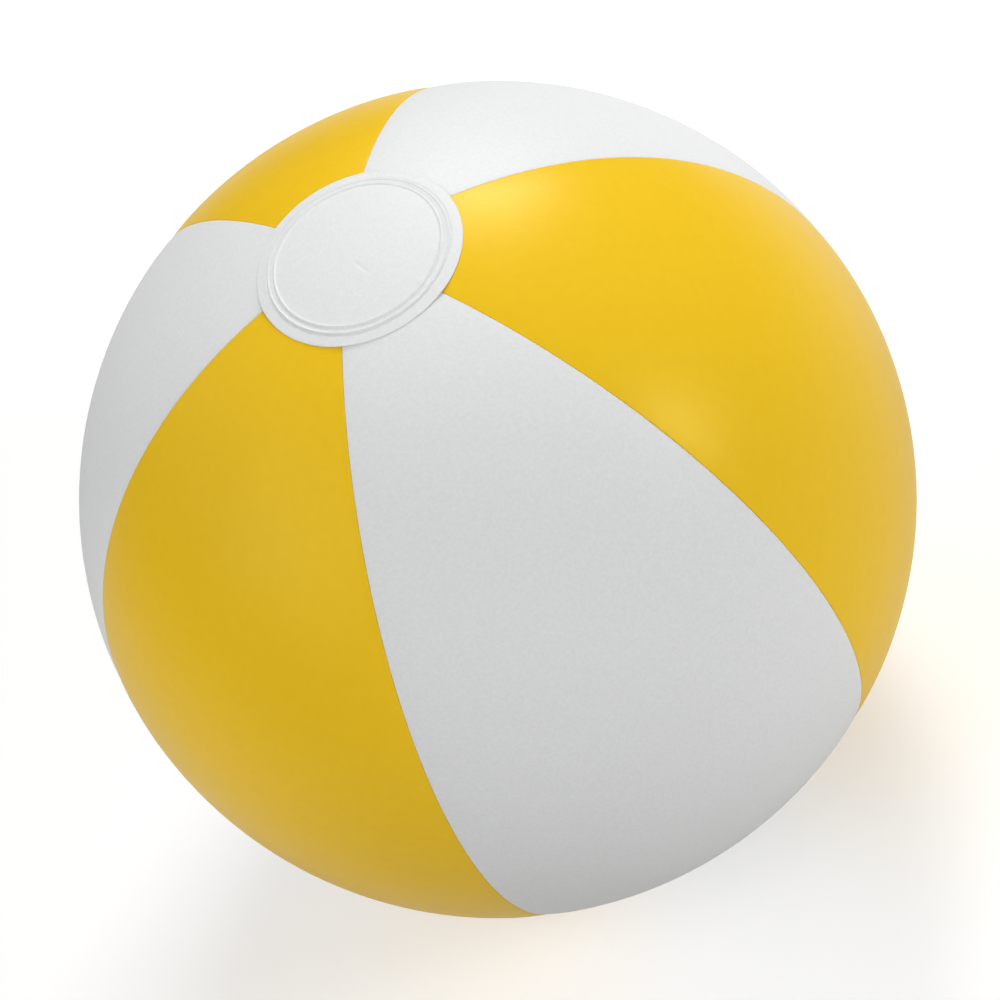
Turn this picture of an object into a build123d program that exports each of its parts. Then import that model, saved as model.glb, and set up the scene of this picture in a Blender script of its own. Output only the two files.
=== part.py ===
"""Inflatable beach ball: six welded film panels, two polar discs and a push-in valve.

The origin is the ball's centre. +Z is the polar axis, through the top disc, and the valve looks along +Y.
"""
from build123d import *
from math import asin, cos, degrees, radians, sin
import os

# Driving dimensions, in millimetres and degrees.
BALL_RADIUS = 140.0
FILM = 0.25

# Panels. Seams are meridians, and hand welding leaves each one a few degrees off its even place.
SEAM_PITCH = 60.0
SEAM_STRAYS = (2.2, -1.1, -2.8, -0.6, 1.6, 0.6)
PANEL_NAMES = (
    "white_panel_rear_right",
    "yellow_panel_rear",
    "white_panel_rear_left",
    "yellow_panel_front_left",
    "white_panel_front",
    "yellow_panel_front_right",
)
VALVE_PANEL = "yellow_panel_rear"
PANEL_END_RADIUS = 24.5     # each panel stops here, under a polar disc
FIN_DEPTH = 4.0             # welded allowance, turned inwards
FIN_END_RADIUS = 36.0       # the allowance is trimmed off under the discs

# Polar discs, welded over the panels' ends. The top one isn't quite centred on the pole.
DISC_RADIUS = 33.8
TOP_DISC_DRIFT = (2.8, -1.7)    # along X and Y

# Valve: radii from its own axis, and heights from the ball's centre.
VALVE_HOLE_RADIUS = 12.5
HOLE_CUTTER = 16.0          # long enough to pass right through the film
FLANGE_HOLE_RADIUS = 10.5
FLANGE_RADIUS = 19.5
FLANGE = 0.8
BORE_RADIUS = 3.0
STEM_RADIUS = 4.75
STEM_TOP = BALL_RADIUS - 0.1
STEM_BOTTOM = BALL_RADIUS - 13.5
STEM_CHAMFER = 0.2
COLLAR_RADIUS = 6.6
COLLAR_BOTTOM = BALL_RADIUS - 7.0
COLLAR_TOP = COLLAR_BOTTOM + 1.2

# Skirt: the thin cone that turns inside out when the stem is pulled.
SKIRT_TOP = BALL_RADIUS - 0.7
SKIRT_WALL = 0.7            # measured along the valve's axis
SKIRT_GAP_OUT = 0.15
SKIRT_GAP_IN = 0.1

# Plug and its tether.
HEAD_RADIUS = 7.4
HEAD_BOTTOM = BALL_RADIUS
HEAD = 1.35
HEAD_ROUND = 0.4
NUB_RADIUS = 2.85
NUB_STRAIGHT = 0.8
NUB_TIP_RADIUS = 2.0
NUB_LENGTH = 4.0
PLUG_HINGE_OFFSET = 7.9     # from the valve's axis to the strap's fold
PLUG_HINGE_HEIGHT = BALL_RADIUS + 0.2
STRAP_WIDTH = 4.0
STRAP = 0.8
STRAP_TOP = BALL_RADIUS - 0.8
STRAP_BEND = BALL_RADIUS - 2.6
STRAP_REACH = 8.4
STRAP_ROOT = 5.5

# Check flap, which air pressure closes against the stem's inner end.
FLAP_RADIUS = 3.9
FLAP = 0.5
FLAP_GAP = 0.1
FLAP_HINGE_OFFSET = 4.8
FLAP_TAB_WIDTH = 2.4
LUG = 0.5
LUG_GAP = 0.3

# A valve piece is drawn along +Z, and this turns it to look along +Y, with its tether uppermost.
TO_VALVE = Rotation(-90, 0, 0)


def meridian_point(radius, angle):
    """A point in the XZ plane, at this angle from the +Z axis."""
    return (radius * sin(radians(angle)), 0, radius * cos(radians(angle)))


def meridian_band(inner, outer, first, last):
    """A flat band between two radii, from one angle off the +Z axis to another."""
    middle = (first + last) / 2
    edges = [
        ThreePointArc(*[meridian_point(outer, angle) for angle in (first, middle, last)]),
        Line(meridian_point(outer, last), meridian_point(inner, last)),
        ThreePointArc(*[meridian_point(inner, angle) for angle in (last, middle, first)]),
        Line(meridian_point(inner, first), meridian_point(outer, first)),
    ]
    return make_face(Curve() + edges)


def polar_angle(radius):
    """How far off the axis a point of the film lies when it is this far from it."""
    return degrees(asin(radius / BALL_RADIUS))


def lathe(points):
    """A solid turned about the Z axis from an outline of radii and heights."""
    outline = Polyline(*[(radius, 0, height) for radius, height in points], close=True)
    return revolve(make_face(outline), Axis.Z)


def strap_plate(points, width):
    """A plate of this width across X, from an outline of Y and Z."""
    outline = Polyline(*[(-width / 2, y, z) for y, z in points], close=True)
    return extrude(make_face(outline), amount=width, dir=(1, 0, 0))


def film_panel(start, end):
    """One panel between two seams, with a fin of weld allowance along each."""
    inside = BALL_RADIUS - FILM
    pole = polar_angle(PANEL_END_RADIUS)
    skin = revolve(meridian_band(inside, BALL_RADIUS, pole, 180 - pole), Axis.Z, end - start)
    trim = polar_angle(FIN_END_RADIUS)
    fin = meridian_band(inside - FIN_DEPTH, inside + FILM / 2, trim, 180 - trim)
    first_fin = extrude(fin, amount=FILM, dir=(0, 1, 0))
    last_fin = Rotation(0, 0, end - start) * extrude(fin, amount=FILM, dir=(0, -1, 0))
    return Rotation(0, 0, start) * (skin + first_fin + last_fin)


def film_panels():
    """All six panels by name, the one at the back with a hole for the valve."""
    seams = [number * SEAM_PITCH + stray for number, stray in enumerate(SEAM_STRAYS)]
    seams.append(seams[0] + 360)
    panels = {}
    for number, name in enumerate(PANEL_NAMES):
        panels[name] = film_panel(seams[number], seams[number + 1])
    hole = TO_VALVE * Pos(0, 0, BALL_RADIUS) * Cylinder(VALVE_HOLE_RADIUS, HOLE_CUTTER)
    panels[VALVE_PANEL] -= hole
    return panels


def polar_disc(turn, drift=(0, 0)):
    """A round patch over the panels' ends, turned to one pole and then slid over the film by its drift."""
    band = meridian_band(BALL_RADIUS, BALL_RADIUS + FILM, 0, polar_angle(DISC_RADIUS))
    tilt = Rotation(-degrees(drift[1] / BALL_RADIUS), degrees(drift[0] / BALL_RADIUS), 0)
    return tilt * Rotation(turn, 0, 0) * revolve(band, Axis.Z)


def valve_flange():
    """The ring welded under the film, around the hole."""
    outside = BALL_RADIUS - FILM
    first = polar_angle(FLANGE_HOLE_RADIUS)
    last = polar_angle(FLANGE_RADIUS)
    return TO_VALVE * revolve(meridian_band(outside - FLANGE, outside, first, last), Axis.Z)


def valve_skirt():
    """The cone between the flange and the stem's collar."""
    outer = FLANGE_HOLE_RADIUS - SKIRT_GAP_OUT
    inner = COLLAR_RADIUS + SKIRT_GAP_IN
    foot = COLLAR_BOTTOM + (COLLAR_TOP - COLLAR_BOTTOM) / 2
    return TO_VALVE * lathe([
        (outer, SKIRT_TOP),
        (outer, SKIRT_TOP - SKIRT_WALL),
        (inner, foot - SKIRT_WALL / 2),
        (inner, foot + SKIRT_WALL / 2),
    ])


def valve_stem():
    """The tube that air goes through, with a collar for the skirt and a lug for the check flap."""
    tube = lathe([
        (BORE_RADIUS, STEM_BOTTOM),
        (STEM_RADIUS, STEM_BOTTOM),
        (STEM_RADIUS, COLLAR_BOTTOM),
        (COLLAR_RADIUS, COLLAR_BOTTOM),
        (COLLAR_RADIUS, COLLAR_TOP),
        (STEM_RADIUS, COLLAR_TOP),
        (STEM_RADIUS, STEM_TOP - STEM_CHAMFER),
        (STEM_RADIUS - STEM_CHAMFER, STEM_TOP),
        (BORE_RADIUS + STEM_CHAMFER, STEM_TOP),
        (BORE_RADIUS, STEM_TOP - STEM_CHAMFER),
    ])
    inner = -FLAP_HINGE_OFFSET - LUG_GAP
    outer = inner - LUG
    below = STEM_BOTTOM - FLAP_GAP - FLAP
    above = STEM_BOTTOM + FLAP
    lug = strap_plate([
        (outer, below),
        (inner, below),
        (inner, STEM_BOTTOM + STEM_CHAMFER),
        (-STEM_RADIUS + LUG, STEM_BOTTOM + STEM_CHAMFER),
        (-STEM_RADIUS + LUG, above + LUG),
        (outer, above + LUG),
    ], FLAP_TAB_WIDTH)
    return TO_VALVE * (tube + lug)


def plug_tether():
    """The strap that rises from the stem's collar to the fold beside the plug."""
    return TO_VALVE * strap_plate([
        (-STRAP_ROOT, COLLAR_TOP),
        (-COLLAR_RADIUS, COLLAR_TOP),
        (-STRAP_REACH, STRAP_BEND),
        (-STRAP_REACH, STRAP_TOP),
        (-STRAP_REACH + STRAP, STRAP_TOP),
        (-STRAP_REACH + STRAP, STRAP_BEND + STRAP / 3),
    ], STRAP_WIDTH)


def valve_plug():
    """The cap over the stem, its tapered nub in the bore, and the strap's other end."""
    top = HEAD_BOTTOM + HEAD
    body = lathe([
        (0, HEAD_BOTTOM - NUB_LENGTH),
        (NUB_TIP_RADIUS, HEAD_BOTTOM - NUB_LENGTH),
        (NUB_RADIUS, HEAD_BOTTOM - NUB_STRAIGHT),
        (NUB_RADIUS, HEAD_BOTTOM),
        (HEAD_RADIUS, HEAD_BOTTOM),
        (HEAD_RADIUS, top - HEAD_ROUND),
        (HEAD_RADIUS - HEAD_ROUND, top),
        (0, top),
    ])
    low = PLUG_HINGE_HEIGHT
    tab = strap_plate([
        (-PLUG_HINGE_OFFSET, low),
        (-HEAD_RADIUS + STRAP, low),
        (-HEAD_RADIUS + STRAP, low + STRAP),
        (-PLUG_HINGE_OFFSET, low + STRAP),
    ], STRAP_WIDTH)
    return TO_VALVE * (body + tab)


def check_flap():
    """The thin disc across the stem's inner end, with a tab to its fold."""
    top = STEM_BOTTOM - FLAP_GAP
    disc = lathe([(0, top - FLAP), (FLAP_RADIUS, top - FLAP), (FLAP_RADIUS, top), (0, top)])
    tab = strap_plate([
        (-FLAP_HINGE_OFFSET, top - FLAP),
        (-FLAP_RADIUS + FLAP, top - FLAP),
        (-FLAP_RADIUS + FLAP, top),
        (-FLAP_HINGE_OFFSET, top),
    ], FLAP_TAB_WIDTH)
    return TO_VALVE * (disc + tab)


def all_parts():
    """Every piece of the ball, by the name of its file."""
    parts = film_panels()
    parts["top_disc"] = polar_disc(0, TOP_DISC_DRIFT)
    parts["bottom_disc"] = polar_disc(180)
    parts["valve_flange"] = valve_flange()
    parts["valve_skirt"] = valve_skirt()
    parts["valve_stem"] = valve_stem()
    parts["plug_tether"] = plug_tether()
    parts["valve_plug"] = valve_plug()
    parts["check_flap"] = check_flap()
    return parts


def main():
    os.makedirs("parts", exist_ok=True)
    for name, shape in all_parts().items():
        export_step(shape, f"parts/{name}.step")


main()
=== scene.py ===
"""Inflatable beach ball: the looks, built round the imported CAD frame, in metres."""
import math

import bmesh
import bpy
import numpy as np
from mathutils import Matrix, Vector


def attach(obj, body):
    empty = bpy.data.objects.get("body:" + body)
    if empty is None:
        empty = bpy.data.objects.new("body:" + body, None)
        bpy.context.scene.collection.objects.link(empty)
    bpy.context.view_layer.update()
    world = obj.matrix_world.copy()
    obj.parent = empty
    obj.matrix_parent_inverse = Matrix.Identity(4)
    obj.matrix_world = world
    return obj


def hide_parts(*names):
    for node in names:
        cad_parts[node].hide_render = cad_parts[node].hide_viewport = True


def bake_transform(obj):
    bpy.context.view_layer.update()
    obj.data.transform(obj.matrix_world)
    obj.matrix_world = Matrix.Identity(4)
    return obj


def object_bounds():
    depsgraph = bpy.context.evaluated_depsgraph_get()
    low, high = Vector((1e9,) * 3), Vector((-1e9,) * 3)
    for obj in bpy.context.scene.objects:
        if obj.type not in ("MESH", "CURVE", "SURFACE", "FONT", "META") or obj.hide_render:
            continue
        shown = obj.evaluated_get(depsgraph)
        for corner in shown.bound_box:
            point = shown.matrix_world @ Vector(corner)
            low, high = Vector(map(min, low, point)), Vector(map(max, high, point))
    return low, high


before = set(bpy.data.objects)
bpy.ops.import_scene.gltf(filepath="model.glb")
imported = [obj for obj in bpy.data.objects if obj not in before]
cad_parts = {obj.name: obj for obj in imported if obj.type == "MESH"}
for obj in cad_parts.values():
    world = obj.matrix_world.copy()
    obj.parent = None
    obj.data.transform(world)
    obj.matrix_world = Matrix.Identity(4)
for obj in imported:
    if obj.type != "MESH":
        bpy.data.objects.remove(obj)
cad_low, cad_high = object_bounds()

MM = 0.001

# The ball, as the CAD has it.
BALL_RADIUS = 140.0 * MM
FILM = 0.25 * MM
SEAM_PITCH = math.radians(60)
SEAM_STRAYS = [math.radians(stray) for stray in (2.2, -1.1, -2.8, -0.6, 1.6, 0.6)]
PANEL_NODES = (
    "white_panel_rear_right",
    "yellow_panel_rear",
    "white_panel_rear_left",
    "yellow_panel_front_left",
    "white_panel_front",
    "yellow_panel_front_right",
)
VALVE_PANEL = "yellow_panel_rear"
PANEL_END_RADIUS = 24.5 * MM
DISC_RADIUS = 33.8 * MM
TOP_DISC_DRIFT = (2.8 * MM, -1.7 * MM)

# The film at a seam: it dips towards the weld, then rolls inwards over a small radius.
SEAM_DIP = 0.45 * MM
SEAM_DIP_REACH = 5.0 * MM
SEAM_ROLL = 0.26 * MM
SEAM_GAP = 0.02 * MM
FIN_DEPTH = 4.0 * MM
RIPPLE = 0.03 * MM
RIPPLE_REACH = 9.0 * MM
RIPPLE_LENGTH = 11.0 * MM
RIPPLE_SWELL = 3.7          # the ripples grow and fade over this many of their lengths
RIPPLE_EVEN = 0.6           # the share of a ripple's height that doesn't fade

# Mesh density of the film.
PANEL_ROWS = 200
NEAR_SEAM = [distance * MM for distance in (0.45, 0.7, 1.0, 1.5, 2.2, 3.1, 4.2, 5.6, 7.3, 9.3)]
MIDDLE_COLUMNS = 20
ROLL_STEPS = 4
BLOCK_RINGS = 3             # rings of points from the block of grid left out for the valve to a circle
HOLE_RINGS = 36             # and from that circle to the hole
DISC_RINGS = (              # the discs' rings of points: first, limit and step, in millimetres
    (1.2, 13.0, 0.4),       # under the crease
    (14.0, 25.5, 1.5),      # plain film
    (25.8, 31.0, 0.15),     # under the weld ridges
)
DISC_RIM_INSETS = (2.2, 1.6, 1.1, 0.7, 0.45, 0.25, 0.1, 0.0)    # and near the rim, inwards from it

# The polar discs: two weld ridges, and the seams' ends showing through from beneath.
WELD_RIDGES = (27.2 * MM, 29.4 * MM)
WELD_RIDGE_WIDTH = 0.31 * MM
WELD_RIDGE = 0.40 * MM
WELD_GROOVE = 0.16 * MM
WELD_GROOVE_OUT = 0.75 * MM     # how far outside each ridge its groove runs
DISC_TURNS = 360
DISC_GAP = 0.02 * MM
DISC_RIM_DROP = 0.10 * MM       # how far the rim's edge is rounded down
DISC_RIM_ROUND = 0.4 * MM       # and over what width
SEAM_END_BUMP = 0.12 * MM
SEAM_END_WIDTH = 1.1 * MM
SEAM_END_FADE = 0.8 * MM        # how softly the bumps stop where the panels do

# A faint straight crease on the top disc, which passes beside its centre.
CREASE_AZIMUTH = math.radians(288)
CREASE_ASIDE = -3.4 * MM        # how far it misses the disc's centre, and on which side
CREASE_ENDS = (2.5 * MM, 11.5 * MM)
CREASE_DEPTH = 0.18 * MM
CREASE_WIDTH = 0.5 * MM
CREASE_FADE = 2.5 * MM

# The valve: radii from its axis, which runs along +Y, and heights from the ball's centre.
VALVE_HOLE_RADIUS = 12.5 * MM
VALVE_BLOCK = 22.0 * MM
VALVE_CIRCLE = 17.8 * MM
VALVE_WELD_RIDGES = (14.6 * MM, 16.2 * MM)
FLANGE_HOLE_RADIUS = 10.5 * MM
FLANGE_RADIUS = 19.5 * MM
FLANGE = 0.8 * MM
FLANGE_STEP_RADIUS = 15.0 * MM  # its face is lower from here on, clear of the film's weld grooves
FLANGE_STEP = 1.15 * MM
FLANGE_ROUND = 0.25 * MM
LIP_WIDTH = 1.2 * MM            # the lip round its hole, which the skirt joins
LIP_DROP_OUT = 0.52 * MM        # how far below the film the lip's outer and inner edges lie
LIP_DROP_IN = 0.44 * MM
BORE_RADIUS = 3.0 * MM
STEM_RADIUS = 4.75 * MM
STEM_TOP = BALL_RADIUS - 0.1 * MM
STEM_BOTTOM = BALL_RADIUS - 13.5 * MM
STEM_ROUND = 0.35 * MM
COLLAR_RADIUS = 6.6 * MM
COLLAR_BOTTOM = BALL_RADIUS - 7.0 * MM
COLLAR_TOP = COLLAR_BOTTOM + 1.2 * MM
SKIRT_TOP = BALL_RADIUS - 1.0 * MM
SKIRT_FOOT = COLLAR_BOTTOM + 0.4 * MM
SKIRT_WALL = 0.45 * MM
SKIRT_OUTER_RADIUS = FLANGE_HOLE_RADIUS - 0.1 * MM
SKIRT_INNER_RADIUS = COLLAR_RADIUS - 0.2 * MM
SKIRT_JOIN = 0.3 * MM           # how far its outer edge runs into the flange
SKIRT_BOW = 0.5 * MM            # how far its middle bulges outwards
SKIRT_STEPS = 14
HEAD_RADIUS = 7.4 * MM
HEAD = 1.35 * MM
HEAD_ROUND = 0.3 * MM
DISH = 0.3 * MM                 # how far the cap's top is sunk inside its rim
DISH_RIM = 1.3 * MM
DISH_SLOPE = 0.6 * MM
NUB_RADIUS = 2.85 * MM
NUB_TIP_RADIUS = 2.0 * MM
NUB_LENGTH = 4.0 * MM
NUB_STRAIGHT = 0.8 * MM
STRAP = 0.8 * MM
STRAP_WIDTH = 4.0 * MM
STRAP_ROUND = 0.35 * MM
STRAP_PATH = (                  # its middle line across the valve and up from the ball's centre, in mm
    (-5.9, 134.3), (-6.6, 135.6), (-7.6, 137.2), (-8.1, 138.5), (-8.25, 139.4),
    (-8.2, 140.05), (-7.95, 140.5), (-7.5, 140.72), (-6.9, 140.75), (-6.2, 140.75),
)
LATHE_TURNS = 96

# The photographer's camera: where it stands round the ball, its roll and how much it takes in.
CAMERA_AZIMUTH = math.radians(-90.0)
CAMERA_ELEVATION = math.radians(50.58)
CAMERA_ROLL = math.radians(31.67)
CAMERA_DISTANCE = 8.0 * BALL_RADIUS
BALL_SHARE = 0.8378         # the ball's outline, as a share of the frame's width
CAMERA_SHIFT = (0.0021, -0.0005)
SENSOR = 36.0

# Softboxes: name, direction in the camera's axes (right, up, backward), distance, width and watts.
SOFTBOXES = (
    ("overhead", (-0.06, 0.99, 0.11), 0.95, 0.36, 6.0),
    ("right_front", (0.69, 0.24, 0.69), 1.20, 0.36, 6.4),
    ("front", (0.05, 0.10, 0.99), 1.90, 1.20, 3.6),
    ("left_front", (-0.75, -0.15, 0.64), 1.30, 0.90, 7.8),
    ("left_side", (-0.93, 0.25, 0.25), 1.30, 0.90, 2.0),
    ("low_front", (-0.15, -0.66, 0.73), 1.30, 0.90, 1.3),
)
WORLD_FILL = 0.03           # how strongly the surround lights the ball
WORLD_SEEN = 0.95           # how bright the surround looks to the camera
FLOOR_SIZE = 12.0
FLOOR_TONES = ((0.75, 0.75, 0.75), (0.77, 0.77, 0.77))
FLOOR_GLOWS = (0.34, 0.95)      # added to what the camera sees of the floor, near the ball and far away
FLOOR_REACHES = (0.35, 1.4)     # metres from the ball at which those two hold


def seam_azimuths():
    """The six seams' azimuths, and the first again after a whole turn."""
    seams = [number * SEAM_PITCH + stray for number, stray in enumerate(SEAM_STRAYS)]
    return seams + [seams[0] + 2 * math.pi]


SEAMS = seam_azimuths()


# ---------------------------------------------------------------- meshes

def mesh_object(name, vertices, faces):
    """A smooth-shaded mesh object at the origin. A faulty mesh stops the script."""
    mesh = bpy.data.meshes.new(name)
    mesh.from_pydata([tuple(vertex) for vertex in vertices], [], faces)
    if mesh.validate():
        raise ValueError(f"the mesh of {name} isn't sound")
    mesh.shade_smooth()
    thing = bpy.data.objects.new(name, mesh)
    bpy.context.scene.collection.objects.link(thing)
    return thing


def thicken(outer, inner, faces):
    """Vertices and faces of a closed sheet: the outer skin, the inner skin, and the rim between them."""
    count = len(outer)
    loose = {}
    for face in faces:
        for start, end in zip(face, face[1:] + face[:1]):
            if (end, start) in loose:
                del loose[(end, start)]
            else:
                loose[(start, end)] = True
    lining = [[index + count for index in reversed(face)] for face in faces]
    rim = [[end, start, start + count, end + count] for start, end in loose]
    return np.vstack([outer, inner]), faces + lining + rim


def directions(polar, azimuth):
    """Unit vectors at these polar angles and azimuths."""
    across = np.sin(polar)
    up = np.cos(polar) + 0 * azimuth
    return np.stack([across * np.cos(azimuth), across * np.sin(azimuth), up], axis=-1)


def ridge(distance, middle, width):
    """A smooth bump, 1 at the middle and gone a few widths away."""
    return np.exp(-((distance - middle) / width) ** 2)


def weld(distance, middles):
    """Height of weld ridges at these distances, each with a shallow groove on its outer side."""
    height = 0
    for middle in middles:
        height = height + WELD_RIDGE * ridge(distance, middle, WELD_RIDGE_WIDTH)
        height = height - WELD_GROOVE * ridge(distance, middle + WELD_GROOVE_OUT, WELD_RIDGE_WIDTH)
    return height


# ---------------------------------------------------------------- film

def valve_distance(points):
    """How far each unit vector lies from the valve's axis, along the ball's surface."""
    return BALL_RADIUS * np.arccos(np.clip(points[..., 1], -1, 1))


def film_height(points, from_seam, along_seam, with_valve):
    """How far the film's outside stands above the plain ball."""
    height = -SEAM_DIP * np.exp(-from_seam / SEAM_DIP_REACH)
    waves = np.sin(2 * math.pi * along_seam / RIPPLE_LENGTH)
    swell = np.sin(2 * math.pi * along_seam / (RIPPLE_LENGTH * RIPPLE_SWELL) + 1.0)
    waves *= RIPPLE_EVEN + (1 - RIPPLE_EVEN) * swell
    height = height + RIPPLE * waves * np.exp(-from_seam / RIPPLE_REACH)
    if with_valve:
        height = height + weld(valve_distance(points), VALVE_WELD_RIDGES)
    return height


def seam_side(azimuth, turn, polar, along):
    """Outer and inner points of the fin and the roll at one seam.

    turn is 1 where the panel follows the seam, and -1 where it comes before it.
    """
    radial = directions(polar, azimuth)
    side = np.array([-math.sin(azimuth), math.cos(azimuth), 0]) * turn
    start = SEAM_GAP + SEAM_ROLL
    dip = film_height(radial, np.full_like(polar, start), along, False)
    top = (BALL_RADIUS + dip)[:, None]
    outer, inner = [], []
    for depth in (FIN_DEPTH, FIN_DEPTH / 2):
        height = top - SEAM_ROLL - depth
        outer.append(radial * height + side * SEAM_GAP)
        inner.append(radial * height + side * (SEAM_GAP + FILM))
    for step in range(ROLL_STEPS):
        angle = math.pi / 2 * (1 - step / ROLL_STEPS)
        for skin, radius in ((outer, SEAM_ROLL), (inner, SEAM_ROLL - FILM)):
            height = top - SEAM_ROLL + radius * math.cos(angle)
            skin.append(radial * height + side * (start - radius * math.sin(angle)))
    return outer, inner


def panel_grid(first, last, with_valve):
    """Outer and inner points of one panel, in rows from the top pole to the bottom, between two seams."""
    end = math.asin(PANEL_END_RADIUS / BALL_RADIUS)
    polar = np.linspace(end, math.pi - end, PANEL_ROWS)
    along = polar * BALL_RADIUS
    girth = BALL_RADIUS * np.sin(polar)
    half = girth * (last - first) / 2
    near = [np.full_like(polar, distance) for distance in NEAR_SEAM]
    rest = half - near[-1]
    middle = [near[-1] + rest * step / MIDDLE_COLUMNS for step in range(1, MIDDLE_COLUMNS + 1)]
    distances = near + middle
    columns = [(first + distance / girth, distance) for distance in distances]
    columns += [(last - distance / girth, distance) for distance in reversed(distances[:-1])]
    outer, inner = seam_side(first, 1, polar, along)
    for azimuth, from_seam in columns:
        points = directions(polar, azimuth)
        height = film_height(points, from_seam, along, with_valve)[:, None]
        outer.append(points * (BALL_RADIUS + height))
        inner.append(points * (BALL_RADIUS + height - FILM))
    last_outer, last_inner = seam_side(last, -1, polar, along)
    outer += reversed(last_outer)
    inner += reversed(last_inner)
    return np.stack(outer, axis=1), np.stack(inner, axis=1)


def grid_faces(rows, columns, skipped=lambda row, column: False):
    """Quads of a grid whose points run row by row, facing out of the ball."""
    faces = []
    for row in range(rows - 1):
        for column in range(columns - 1):
            if not skipped(row, column):
                corner = row * columns + column
                faces.append([corner, corner + columns, corner + columns + 1, corner + 1])
    return faces


def film_panel(node, first, last):
    """One panel as a closed thin sheet, with its fins, and with the hole for the valve where it has one."""
    with_valve = node == VALVE_PANEL
    outer, inner = panel_grid(first, last, with_valve)
    rows, columns = outer.shape[:2]
    if with_valve:
        vertices, faces = film_with_hole(outer, inner)
    else:
        faces = grid_faces(rows, columns)
        vertices, faces = thicken(outer.reshape(-1, 3), inner.reshape(-1, 3), faces)
    return mesh_object(node + "_film", vertices, faces)


def block_border(columns, top, bottom, left, right):
    """The grid's points round a block of its cells, in order."""
    loop = [row * columns + left for row in range(top, bottom)]
    loop += [bottom * columns + column for column in range(left, right)]
    loop += [row * columns + right for row in range(bottom, top, -1)]
    loop += [top * columns + column for column in range(right, left, -1)]
    return loop


def hole_radii(reach):
    """Each ring's distances from the valve's axis, from the block's border at this reach in to the hole."""
    rings = [reach + (VALVE_CIRCLE - reach) * step / BLOCK_RINGS for step in range(1, BLOCK_RINGS + 1)]
    circles = np.linspace(VALVE_CIRCLE, VALVE_HOLE_RADIUS, HOLE_RINGS + 1)[1:]
    return rings + [np.full_like(reach, radius) for radius in circles]


def ring_about_valve(spokes, radius):
    """Outer and inner points of a ring, at this distance from the valve's axis along each spoke."""
    flat = spokes * radius[:, None]
    up = np.sqrt(BALL_RADIUS ** 2 - (flat ** 2).sum(axis=1))
    points = np.stack([flat[:, 0], up, flat[:, 1]], axis=-1) / BALL_RADIUS
    far = np.full(len(points), BALL_RADIUS)
    height = film_height(points, far, far, True)[:, None]
    return points * (BALL_RADIUS + height), points * (BALL_RADIUS + height - FILM)


def film_with_hole(outer, inner):
    """The valve's panel: a block of the grid gives way to rings that close in on the round hole."""
    rows, columns = outer.shape[:2]
    block_rows = np.flatnonzero(np.abs(outer[:, columns // 2, 2]) < VALVE_BLOCK)
    block_columns = np.flatnonzero(np.abs(outer[rows // 2, :, 0]) < VALVE_BLOCK)
    top, bottom = block_rows[0], block_rows[-1]
    left, right = block_columns[0], block_columns[-1]

    def skipped(row, column):
        return top <= row < bottom and left <= column < right

    faces = grid_faces(rows, columns, skipped)
    outer_rings, inner_rings = [outer.reshape(-1, 3)], [inner.reshape(-1, 3)]
    previous = block_border(columns, top, bottom, left, right)
    spokes = outer_rings[0][previous][:, [0, 2]]
    reach = np.linalg.norm(spokes, axis=1)
    spokes = spokes / reach[:, None]
    count = rows * columns
    for radius in hole_radii(reach):
        ring_outer, ring_inner = ring_about_valve(spokes, radius)
        outer_rings.append(ring_outer)
        inner_rings.append(ring_inner)
        ring = list(range(count, count + len(spokes)))
        for index in range(len(spokes)):
            after = (index + 1) % len(spokes)
            faces.append([previous[index], previous[after], ring[after], ring[index]])
        previous = ring
        count += len(spokes)
    vertices, faces = thicken(np.vstack(outer_rings), np.vstack(inner_rings), faces)
    return drop_unused(vertices, faces)


def drop_unused(vertices, faces):
    """The same mesh without the points that no face uses."""
    used = sorted({index for face in faces for index in face})
    renumbered = {old: new for new, old in enumerate(used)}
    return vertices[used], [[renumbered[index] for index in face] for face in faces]


def disc_radii():
    """Distances from the disc's centre at which its rings of points lie."""
    rings = [radius * MM for limits in DISC_RINGS for radius in np.arange(*limits)]
    return rings + [DISC_RADIUS - inset * MM for inset in DISC_RIM_INSETS]


def disc_height(radius, points):
    """How far the disc's outside stands above the plain ball, at one distance from its own centre."""
    height = FILM + weld(radius, WELD_RIDGES)
    rounding = np.clip((radius - DISC_RADIUS + DISC_RIM_ROUND) / DISC_RIM_ROUND, 0, 1)
    height = height - DISC_RIM_DROP * rounding ** 2
    from_pole = BALL_RADIUS * np.arcsin(np.hypot(points[:, 0], points[:, 1]))
    azimuth = np.arctan2(points[:, 1], points[:, 0])
    covered = 1 / (1 + np.exp(-(from_pole - PANEL_END_RADIUS) / SEAM_END_FADE))
    for seam in SEAMS[:-1]:
        away = np.abs((azimuth - seam + math.pi) % (2 * math.pi) - math.pi) * from_pole
        height = height + SEAM_END_BUMP * covered * ridge(away, 0, SEAM_END_WIDTH)
    return height


def disc_crease(radius, azimuth):
    """Depth of the crease at one distance from the disc's centre, at these azimuths about it."""
    aside = radius * np.sin(azimuth - CREASE_AZIMUTH)
    along = radius * np.cos(azimuth - CREASE_AZIMUTH)
    start = np.clip((along - CREASE_ENDS[0]) / CREASE_FADE, 0, 1)
    stop = np.clip((CREASE_ENDS[1] - along) / CREASE_FADE, 0, 1)
    return CREASE_DEPTH * start * stop * ridge(aside, CREASE_ASIDE, CREASE_WIDTH)


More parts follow.
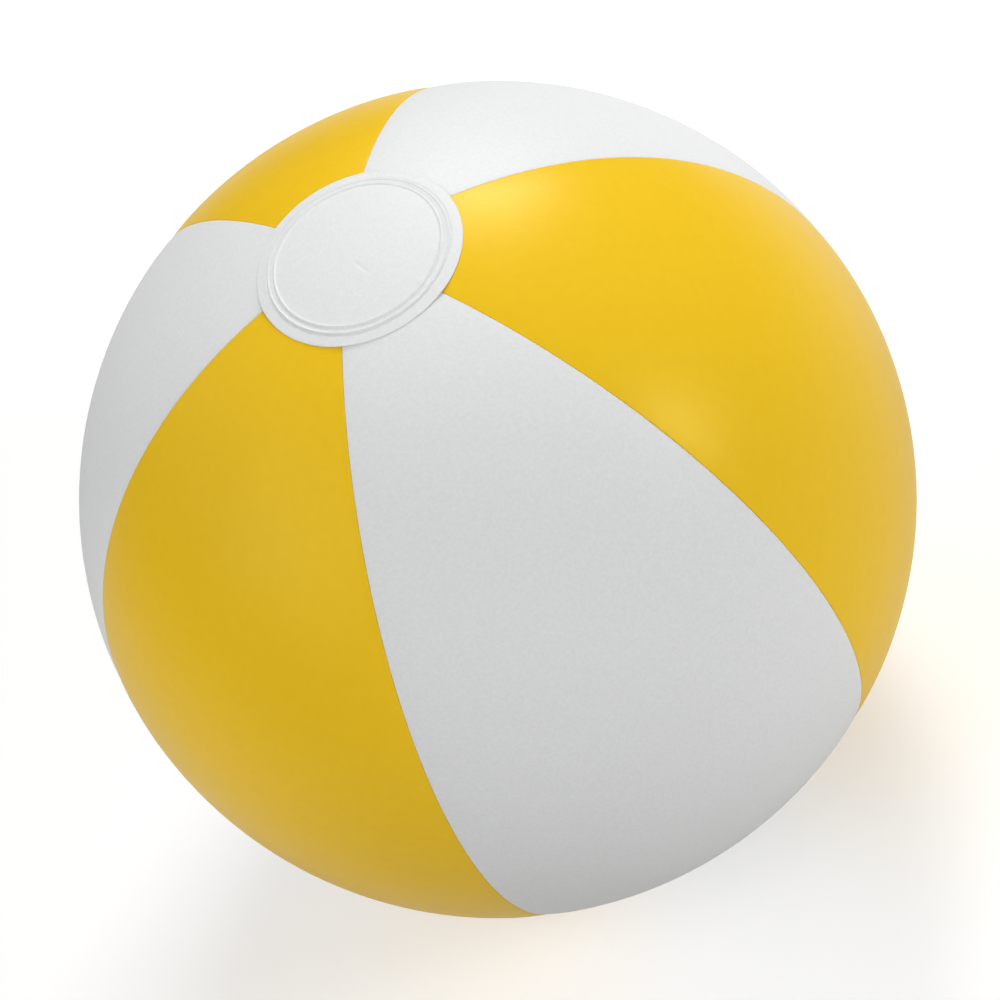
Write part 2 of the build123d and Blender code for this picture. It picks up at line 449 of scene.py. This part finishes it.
def polar_disc(name, turn, drift=(0, 0)):
    """A round patch over the panels' ends.

    turn is 1 at the top pole and -1 at the bottom, and drift slides the patch over the film.
    """
    along_x = Matrix.Rotation(drift[0] / BALL_RADIUS, 3, "Y")
    along_y = Matrix.Rotation(-drift[1] / BALL_RADIUS, 3, "X")
    tilt = np.array(along_x @ along_y) @ np.diag([1, 1, turn])
    azimuth = np.linspace(0, 2 * math.pi, DISC_TURNS, endpoint=False)
    centre = tilt @ np.array([0, 0, 1])
    low = BALL_RADIUS + DISC_GAP
    outer, inner = [centre * (BALL_RADIUS + FILM)], [centre * low]
    faces = []
    for number, radius in enumerate(disc_radii()):
        points = directions(np.full_like(azimuth, radius / BALL_RADIUS), azimuth) @ tilt.T
        height = disc_height(radius, points)
        if turn > 0:
            height = height - disc_crease(radius, azimuth)
        outer.append(points * (BALL_RADIUS + height)[:, None])
        inner.append(points * low)
        here = 1 + number * DISC_TURNS
        for step in range(DISC_TURNS):
            after = (step + 1) % DISC_TURNS
            if number == 0:
                face = [0, here + step, here + after]
            else:
                before = here - DISC_TURNS
                face = [before + step, here + step, here + after, before + after]
            faces.append(face if turn > 0 else face[::-1])
    return mesh_object(name, *thicken(np.vstack(outer), np.vstack(inner), faces))


# ---------------------------------------------------------------- valve

def to_valve(points):
    """Points drawn with the valve's axis along Z, turned so that it looks along +Y."""
    points = np.asarray(points, float)
    return np.stack([points[:, 0], points[:, 2], -points[:, 1]], axis=-1)


def lathe(name, profile, closed):
    """A solid turned about the valve's axis from radii and heights: a loop if closed, else axis to axis."""
    count = len(profile)
    vertices, faces = [], []
    for step in range(LATHE_TURNS):
        angle = 2 * math.pi * step / LATHE_TURNS
        vertices += [(r * math.cos(angle), r * math.sin(angle), h) for r, h in profile]
    sides = count if closed else count - 1
    for step in range(LATHE_TURNS):
        here, after = step * count, (step + 1) % LATHE_TURNS * count
        for row in range(sides):
            below = (row + 1) % count
            faces.append([here + row, here + below, after + below, after + row])
    thing = mesh_object(name, to_valve(vertices), faces)
    tidy_mesh(thing)
    return thing


def tidy_mesh(thing):
    """Merges the points that fall on the axis, and faces every side outwards."""
    work = bmesh.new()
    work.from_mesh(thing.data)
    bmesh.ops.remove_doubles(work, verts=work.verts, dist=1e-7)
    bmesh.ops.recalc_face_normals(work, faces=work.faces)
    work.to_mesh(thing.data)
    work.free()


def round_corners(points, radius, steps=4, closed=True):
    """The same outline with each corner cut round by a short curve."""
    result = []
    count = len(points)
    for index, corner in enumerate(points):
        here = Vector(corner)
        if not closed and index in (0, count - 1):
            result.append(tuple(here))
            continue
        before, after = Vector(points[index - 1]), Vector(points[(index + 1) % count])
        cut_in = here + (before - here).normalized() * min(radius, (before - here).length * 0.45)
        cut_out = here + (after - here).normalized() * min(radius, (after - here).length * 0.45)
        for step in range(steps + 1):
            share = step / steps
            result.append(tuple(cut_in.lerp(here, share).lerp(here.lerp(cut_out, share), share)))
    return result


def valve_flange():
    """The ring under the film, with its own inner lip."""
    under = BALL_RADIUS - FILM
    low = under - FLANGE
    drop = BALL_RADIUS - math.sqrt(BALL_RADIUS ** 2 - FLANGE_RADIUS ** 2)
    outline = [
        (FLANGE_HOLE_RADIUS, low),
        (FLANGE_RADIUS, low - drop),
        (FLANGE_RADIUS, low - drop + FLANGE / 2),
        (FLANGE_STEP_RADIUS, under - FLANGE_STEP),
        (FLANGE_HOLE_RADIUS + LIP_WIDTH, under - LIP_DROP_OUT),
        (FLANGE_HOLE_RADIUS, under - LIP_DROP_IN),
    ]
    return lathe("valve_flange_ring", round_corners(outline, FLANGE_ROUND), True)


def valve_skirt():
    """The thin cone from the flange's lip to the stem's collar."""
    outline = [
        (FLANGE_HOLE_RADIUS + SKIRT_JOIN, SKIRT_TOP + SKIRT_WALL / 2),
        (FLANGE_HOLE_RADIUS + SKIRT_JOIN, SKIRT_TOP - SKIRT_WALL / 2),
    ]
    for step in range(SKIRT_STEPS + 1):
        share = step / SKIRT_STEPS
        radius = SKIRT_OUTER_RADIUS + (SKIRT_INNER_RADIUS - SKIRT_OUTER_RADIUS) * share
        bow = SKIRT_BOW * math.sin(math.pi * share)
        height = SKIRT_TOP + (SKIRT_FOOT - SKIRT_TOP) * share + bow
        outline.append((radius, height - SKIRT_WALL / 2))
    top = [(radius, height + SKIRT_WALL) for radius, height in reversed(outline[2:])]
    return lathe("valve_skirt_cone", outline + top, True)


def valve_stem():
    """The tube with its rolled rim and collar."""
    outline = [
        (BORE_RADIUS, STEM_BOTTOM),
        (STEM_RADIUS, STEM_BOTTOM),
        (STEM_RADIUS, COLLAR_BOTTOM),
        (COLLAR_RADIUS, COLLAR_BOTTOM),
        (COLLAR_RADIUS, COLLAR_TOP),
        (STEM_RADIUS, COLLAR_TOP),
        (STEM_RADIUS, STEM_TOP),
        (BORE_RADIUS, STEM_TOP),
    ]
    return lathe("valve_stem_tube", round_corners(outline, STEM_ROUND), True)


def valve_plug():
    """The cap with a dished top, and the tapered nub under it."""
    top = BALL_RADIUS + HEAD
    outline = [
        (0, BALL_RADIUS - NUB_LENGTH),
        (NUB_TIP_RADIUS, BALL_RADIUS - NUB_LENGTH),
        (NUB_RADIUS, BALL_RADIUS - NUB_STRAIGHT),
        (NUB_RADIUS, BALL_RADIUS),
        (HEAD_RADIUS, BALL_RADIUS),
        (HEAD_RADIUS, top),
        (HEAD_RADIUS - DISH_RIM, top),
        (HEAD_RADIUS - DISH_RIM - DISH_SLOPE, top - DISH),
        (0, top - DISH),
    ]
    return lathe("valve_plug_cap", round_corners(outline, HEAD_ROUND, closed=False), False)


def smooth_path(points, steps=5):
    """More points along the same line, on a Catmull-Rom curve."""
    result = []
    for index in range(len(points) - 1):
        before = np.array(points[max(index - 1, 0)])
        here, after = np.array(points[index]), np.array(points[index + 1])
        beyond = np.array(points[min(index + 2, len(points) - 1)])
        for step in range(steps):
            t = step / steps
            result.append(0.5 * (2 * here + (after - before) * t
                                 + (2 * before - 5 * here + 4 * after - beyond) * t ** 2
                                 + (3 * here - before - 3 * after + beyond) * t ** 3))
    result.append(np.array(points[-1]))
    return result


def plug_tether():
    """The strap between the stem's collar and the cap."""
    path = smooth_path([(across * MM, height * MM) for across, height in STRAP_PATH])
    width, thick = STRAP_WIDTH / 2, STRAP / 2
    corners = [(-width, -thick), (width, -thick), (width, thick), (-width, thick)]
    section = round_corners(corners, STRAP_ROUND)
    vertices, faces = [], []
    for index, place in enumerate(path):
        before, after = path[max(index - 1, 0)], path[min(index + 1, len(path) - 1)]
        along = (after - before) / np.linalg.norm(after - before)
        out = np.array([-along[1], along[0]])
        for across, away in section:
            spot = place + out * away
            vertices.append((across, spot[0], spot[1]))
    count = len(section)
    for index in range(len(path) - 1):
        here, after = index * count, (index + 1) * count
        for side in range(count):
            beyond = (side + 1) % count
            faces.append([here + side, here + beyond, after + beyond, after + side])
    faces.append(list(range(count))[::-1])
    faces.append(list(range((len(path) - 1) * count, len(path) * count)))
    thing = mesh_object("plug_tether_strap", to_valve(vertices), faces)
    tidy_mesh(thing)
    return thing


# ---------------------------------------------------------------- materials

def new_material(name):
    """An empty material: its tree and its shader."""
    material = bpy.data.materials.new(name)
    material.use_nodes = True
    tree = material.node_tree
    return material, tree, tree.nodes["Principled BSDF"]


def noise(tree, scale, detail, seed):
    """A noise texture over the object's own coordinates, in metres."""
    place = tree.nodes.get("place") or tree.nodes.new("ShaderNodeTexCoord")
    place.name = "place"
    node = tree.nodes.new("ShaderNodeTexNoise")
    node.noise_dimensions = "4D"
    node.inputs["Scale"].default_value = scale
    node.inputs["Detail"].default_value = detail
    node.inputs["W"].default_value = seed
    tree.links.new(place.outputs["Object"], node.inputs["Vector"])
    return node.outputs["Fac"]


def spread(tree, value, low, high):
    """Maps a noise value onto a range."""
    node = tree.nodes.new("ShaderNodeMapRange")
    node.inputs["From Min"].default_value = 0.3
    node.inputs["From Max"].default_value = 0.7
    node.inputs["To Min"].default_value = low
    node.inputs["To Max"].default_value = high
    tree.links.new(value, node.inputs["Value"])
    return node.outputs["Result"]


def tint(tree, value, dark, light):
    """A colour between two, by a noise value."""
    node = tree.nodes.new("ShaderNodeValToRGB")
    for element, place, colour in zip(node.color_ramp.elements, (0.3, 0.7), (dark, light)):
        element.position = place
        element.color = (*colour, 1)
    tree.links.new(value, node.inputs["Fac"])
    return node.outputs["Color"]


def bump(tree, shader, layers):
    """Stacks bump layers, each a height value and a depth in metres, and feeds the shader's normal."""
    normal = None
    for height, depth in layers:
        node = tree.nodes.new("ShaderNodeBump")
        node.inputs["Strength"].default_value = 1.0
        node.inputs["Distance"].default_value = depth
        tree.links.new(height, node.inputs["Height"])
        if normal is not None:
            tree.links.new(normal, node.inputs["Normal"])
        normal = node.outputs["Normal"]
    tree.links.new(normal, shader.inputs["Normal"])


def film_material(name, dark, light, mottle, roughness, grain, specular, tint_of_shine):
    """Vinyl film: a slightly uneven colour and gloss, a fine grain, and a slow waviness."""
    material, tree, shader = new_material(name)
    tree.links.new(tint(tree, noise(tree, mottle, 2, 1), dark, light), shader.inputs["Base Color"])
    gloss = spread(tree, noise(tree, 60, 2, 2), roughness - 0.02, roughness + 0.02)
    tree.links.new(gloss, shader.inputs["Roughness"])
    shader.inputs["IOR"].default_value = 1.5
    shader.inputs["Specular IOR Level"].default_value = specular
    shader.inputs["Specular Tint"].default_value = (*tint_of_shine, 1)
    bump(tree, shader, [(noise(tree, 1200, 2, 3), grain * MM), (noise(tree, 30, 1, 4), 0.05 * MM)])
    return material


def valve_material():
    """Milky soft vinyl, a little see-through at its edges."""
    material, tree, shader = new_material("valve_vinyl")
    milk = tint(tree, noise(tree, 400, 2, 5), (0.72, 0.75, 0.77), (0.80, 0.83, 0.84))
    tree.links.new(milk, shader.inputs["Base Color"])
    gloss = spread(tree, noise(tree, 150, 2, 6), 0.22, 0.32)
    tree.links.new(gloss, shader.inputs["Roughness"])
    shader.inputs["Subsurface Weight"].default_value = 0.35
    shader.inputs["Subsurface Radius"].default_value = (0.002, 0.002, 0.002)
    bump(tree, shader, [(noise(tree, 900, 2, 7), 0.01 * MM)])
    return material


def paint(thing, material):
    thing.data.materials.clear()
    thing.data.materials.append(material)


# ---------------------------------------------------------------- the object

yellow = film_material(
    "yellow_film", dark=(0.865, 0.540, 0.017), light=(0.885, 0.556, 0.019), mottle=300,
    roughness=0.34, grain=0.003, specular=0.18, tint_of_shine=(1.0, 0.95, 0.3))
white = film_material(
    "white_film", dark=(0.755, 0.765, 0.76), light=(0.80, 0.81, 0.805), mottle=900,
    roughness=0.45, grain=0.014, specular=0.10, tint_of_shine=(1.0, 1.0, 1.0))
vinyl = valve_material()


def finish_piece(piece, node, material, body="ball"):
    """Gives a piece its material and the body it rides on, if any, and hides the CAD part it stands for."""
    paint(piece, material)
    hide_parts(node)
    if body:
        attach(piece, body)
    return piece


def make_film():
    """Six panels and two discs, each one a sheet that the air keeps tight."""
    for number, node in enumerate(PANEL_NODES):
        piece = film_panel(node, SEAMS[number], SEAMS[number + 1])
        slot = "white_film" if node.startswith("white") else "yellow_film"
        finish_piece(piece, node, white if slot == "white_film" else yellow)
    for node, turn, drift in (("top_disc", 1, TOP_DISC_DRIFT), ("bottom_disc", -1, (0, 0))):
        piece = finish_piece(polar_disc(node + "_film", turn, drift), node, white)


def make_valve():
    """The valve's pieces, on their own bodies, with the skirt and the strap fixed in place between them."""
    finish_piece(valve_flange(), "valve_flange", vinyl)
    finish_piece(valve_stem(), "valve_stem", vinyl, "stem")
    finish_piece(valve_plug(), "valve_plug", vinyl, "plug")
    skirt = finish_piece(valve_skirt(), "valve_skirt", vinyl, None)
    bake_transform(skirt)
    tether = finish_piece(plug_tether(), "plug_tether", vinyl, None)
    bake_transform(tether)
    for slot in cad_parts["check_flap"].material_slots:
        slot.material = vinyl


# ---------------------------------------------------------------- stage

def camera_axes():
    """Right, up and backward directions of the photographer's camera."""
    flat = math.cos(CAMERA_ELEVATION)
    away = (flat * math.cos(CAMERA_AZIMUTH), flat * math.sin(CAMERA_AZIMUTH), math.sin(CAMERA_ELEVATION))
    back = Vector(away)
    level_right = Vector((0, 0, 1)).cross(back).normalized()
    level_up = back.cross(level_right)
    turn = Matrix.Rotation(-CAMERA_ROLL, 3, back)
    return turn @ level_right, turn @ level_up, back


def make_camera():
    """The camera at the photographer's place, with the ball's outline filling its share of the frame."""
    right, up, back = camera_axes()
    data = bpy.data.cameras.new("camera")
    camera = bpy.data.objects.new("camera", data)
    bpy.context.scene.collection.objects.link(camera)
    camera.matrix_world = Matrix((
        (right.x, up.x, back.x, back.x * CAMERA_DISTANCE),
        (right.y, up.y, back.y, back.y * CAMERA_DISTANCE),
        (right.z, up.z, back.z, back.z * CAMERA_DISTANCE),
        (0, 0, 0, 1),
    ))
    outline = math.tan(math.asin(BALL_RADIUS / CAMERA_DISTANCE))
    data.sensor_width = SENSOR
    data.lens = SENSOR / 2 * BALL_SHARE / outline
    data.shift_x, data.shift_y = CAMERA_SHIFT
    data.clip_start, data.clip_end = 0.05, 100
    bpy.context.scene.camera = camera


def soft_light(name, direction, distance, size, power):
    """A square softbox that looks at the ball, and isn't seen itself."""
    right, up, back = camera_axes()
    toward = (right * direction[0] + up * direction[1] + back * direction[2]).normalized()
    data = bpy.data.lights.new(name, "AREA")
    data.shape = "SQUARE"
    data.size = size
    data.energy = power
    light = bpy.data.objects.new(name, data)
    light.location = toward * distance
    light.rotation_mode = "QUATERNION"
    light.rotation_quaternion = toward.to_track_quat("Z", "Y")
    light.visible_camera = False
    bpy.context.scene.collection.objects.link(light)


def floor_glow(tree):
    """Extra brightness that only the camera sees, so that the floor is pale all the way."""
    place = tree.nodes["place"]
    reach = tree.nodes.new("ShaderNodeVectorMath")
    reach.operation = "LENGTH"
    tree.links.new(place.outputs["Object"], reach.inputs[0])
    glow = tree.nodes.new("ShaderNodeMapRange")
    glow.interpolation_type = "SMOOTHSTEP"
    glow.inputs["From Min"].default_value, glow.inputs["From Max"].default_value = FLOOR_REACHES
    glow.inputs["To Min"].default_value, glow.inputs["To Max"].default_value = FLOOR_GLOWS
    tree.links.new(reach.outputs["Value"], glow.inputs["Value"])
    looks = tree.nodes.new("ShaderNodeLightPath")
    seen = tree.nodes.new("ShaderNodeMath")
    seen.operation = "MULTIPLY"
    tree.links.new(glow.outputs["Result"], seen.inputs[0])
    tree.links.new(looks.outputs["Is Camera Ray"], seen.inputs[1])
    return seen.outputs["Value"]


def make_floor():
    """A wide floor that looks pale, and throws back less light than it seems to."""
    low = cad_low.z - 0.1 * MM
    signs = ((-1, -1), (1, -1), (1, 1), (-1, 1))
    corners = [(across * FLOOR_SIZE, along * FLOOR_SIZE, low) for across, along in signs]
    floor = mesh_object("floor", corners, [[0, 1, 2, 3]])
    material, tree, shader = new_material("floor_paper")
    tone = tint(tree, noise(tree, 4, 2, 8), *FLOOR_TONES)
    tree.links.new(tone, shader.inputs["Base Color"])
    shader.inputs["Roughness"].default_value = 0.9
    shader.inputs["Specular IOR Level"].default_value = 0.1
    shader.inputs["Emission Color"].default_value = (1, 1, 1, 1)
    tree.links.new(floor_glow(tree), shader.inputs["Emission Strength"])
    paint(floor, material)


def make_world():
    """An even white surround: bright to look at, and weak as a light."""
    world = bpy.data.worlds.new("studio")
    bpy.context.scene.world = world
    world.use_nodes = True
    tree = world.node_tree
    looks = tree.nodes.new("ShaderNodeLightPath")
    strength = tree.nodes.new("ShaderNodeMapRange")
    strength.inputs["To Min"].default_value = WORLD_FILL
    strength.inputs["To Max"].default_value = WORLD_SEEN
    tree.links.new(looks.outputs["Is Camera Ray"], strength.inputs["Value"])
    surround = tree.nodes["Background"]
    surround.inputs["Color"].default_value = (1, 1, 1, 1)
    tree.links.new(strength.outputs["Result"], surround.inputs["Strength"])


def make_stage():
    """Camera, floor, surround and softboxes."""
    make_camera()
    make_floor()
    make_world()
    for softbox in SOFTBOXES:
        soft_light(*softbox)
    settings = bpy.context.scene.view_settings
    settings.view_transform = "Standard"
    settings.look = "None"


make_film()
make_valve()
make_stage()
